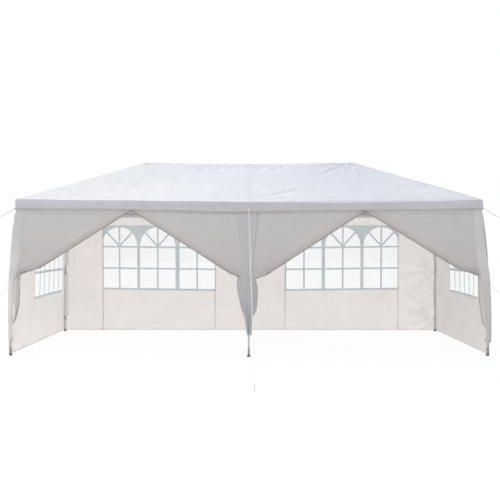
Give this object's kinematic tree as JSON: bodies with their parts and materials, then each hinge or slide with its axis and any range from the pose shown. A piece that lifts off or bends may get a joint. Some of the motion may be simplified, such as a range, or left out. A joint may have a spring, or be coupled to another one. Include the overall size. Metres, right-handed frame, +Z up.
{
  "type": "marquee tent",
  "caption": "Party marquee on a slip-joined tube frame, with a hipped fabric canopy, windowed back and end walls, tied-back door curtains and pegged guy ropes.",
  "frame": {"origin": "ground level, at the centre of the plan, guy ropes included", "axes": "+X to the right along the long side, +Y away from the open front, +Z up"},
  "size_m": [11.3444, 7.9502, 2.605],
  "materials": {
    "canopy_fabric": "woven coated sheet, translucent white",
    "wall_fabric": "woven coated sheet, translucent warm white",
    "curtain_fabric": "woven coated sheet, white in shade",
    "window_film": "clear soft film",
    "steel_tube": "pale grey powder coat",
    "steel_joint": "pale grey powder coat",
    "guy_cord": "twisted white cord"
  },
  "bodies": {
    "root": {"leg_front_left": "steel_tube", "leg_front_middle": "steel_tube", "leg_front_right": "steel_tube", "leg_back_left": "steel_tube", "leg_back_middle": "steel_tube", "leg_back_right": "steel_tube", "corner_joint_front_left": "steel_joint", "corner_joint_front_right": "steel_joint", "middle_joint_front": "steel_joint", "corner_joint_back_left": "steel_joint", "corner_joint_back_right": "steel_joint", "middle_joint_back": "steel_joint", "ridge_joint_left": "steel_joint", "ridge_joint_middle": "steel_joint", "ridge_joint_right": "steel_joint", "eave_rail_front_left": "steel_tube", "hip_rafter_front_left": "steel_tube", "eave_rail_front_right": "steel_tube", "hip_rafter_front_right": "steel_tube", "middle_rafter_front": "steel_tube", "eave_rail_back_left": "steel_tube", "hip_rafter_back_left": "steel_tube", "eave_rail_back_right": "steel_tube", "hip_rafter_back_right": "steel_tube", "middle_rafter_back": "steel_tube", "eave_rail_end_left": "steel_tube", "ridge_pole_left": "steel_tube", "eave_rail_end_right": "steel_tube", "ridge_pole_right": "steel_tube", "canopy": "canopy_fabric", "back_wall_left": "wall_fabric", "end_wall_left": "wall_fabric", "back_window_left": "window_film", "end_window_left": "window_film", "door_curtain_left_outer": "curtain_fabric", "door_curtain_left_inner": "curtain_fabric", "back_wall_right": "wall_fabric", "end_wall_right": "wall_fabric", "back_window_right": "window_film", "end_window_right": "window_film", "door_curtain_right_outer": "curtain_fabric", "door_curtain_right_inner": "curtain_fabric", "guy_rope_front_left": "guy_cord", "guy_rope_front_middle": "guy_cord", "guy_rope_front_right": "guy_cord", "guy_rope_back_left": "guy_cord", "guy_rope_back_middle": "guy_cord", "guy_rope_back_right": "guy_cord"}
  },
  "joints": []
}
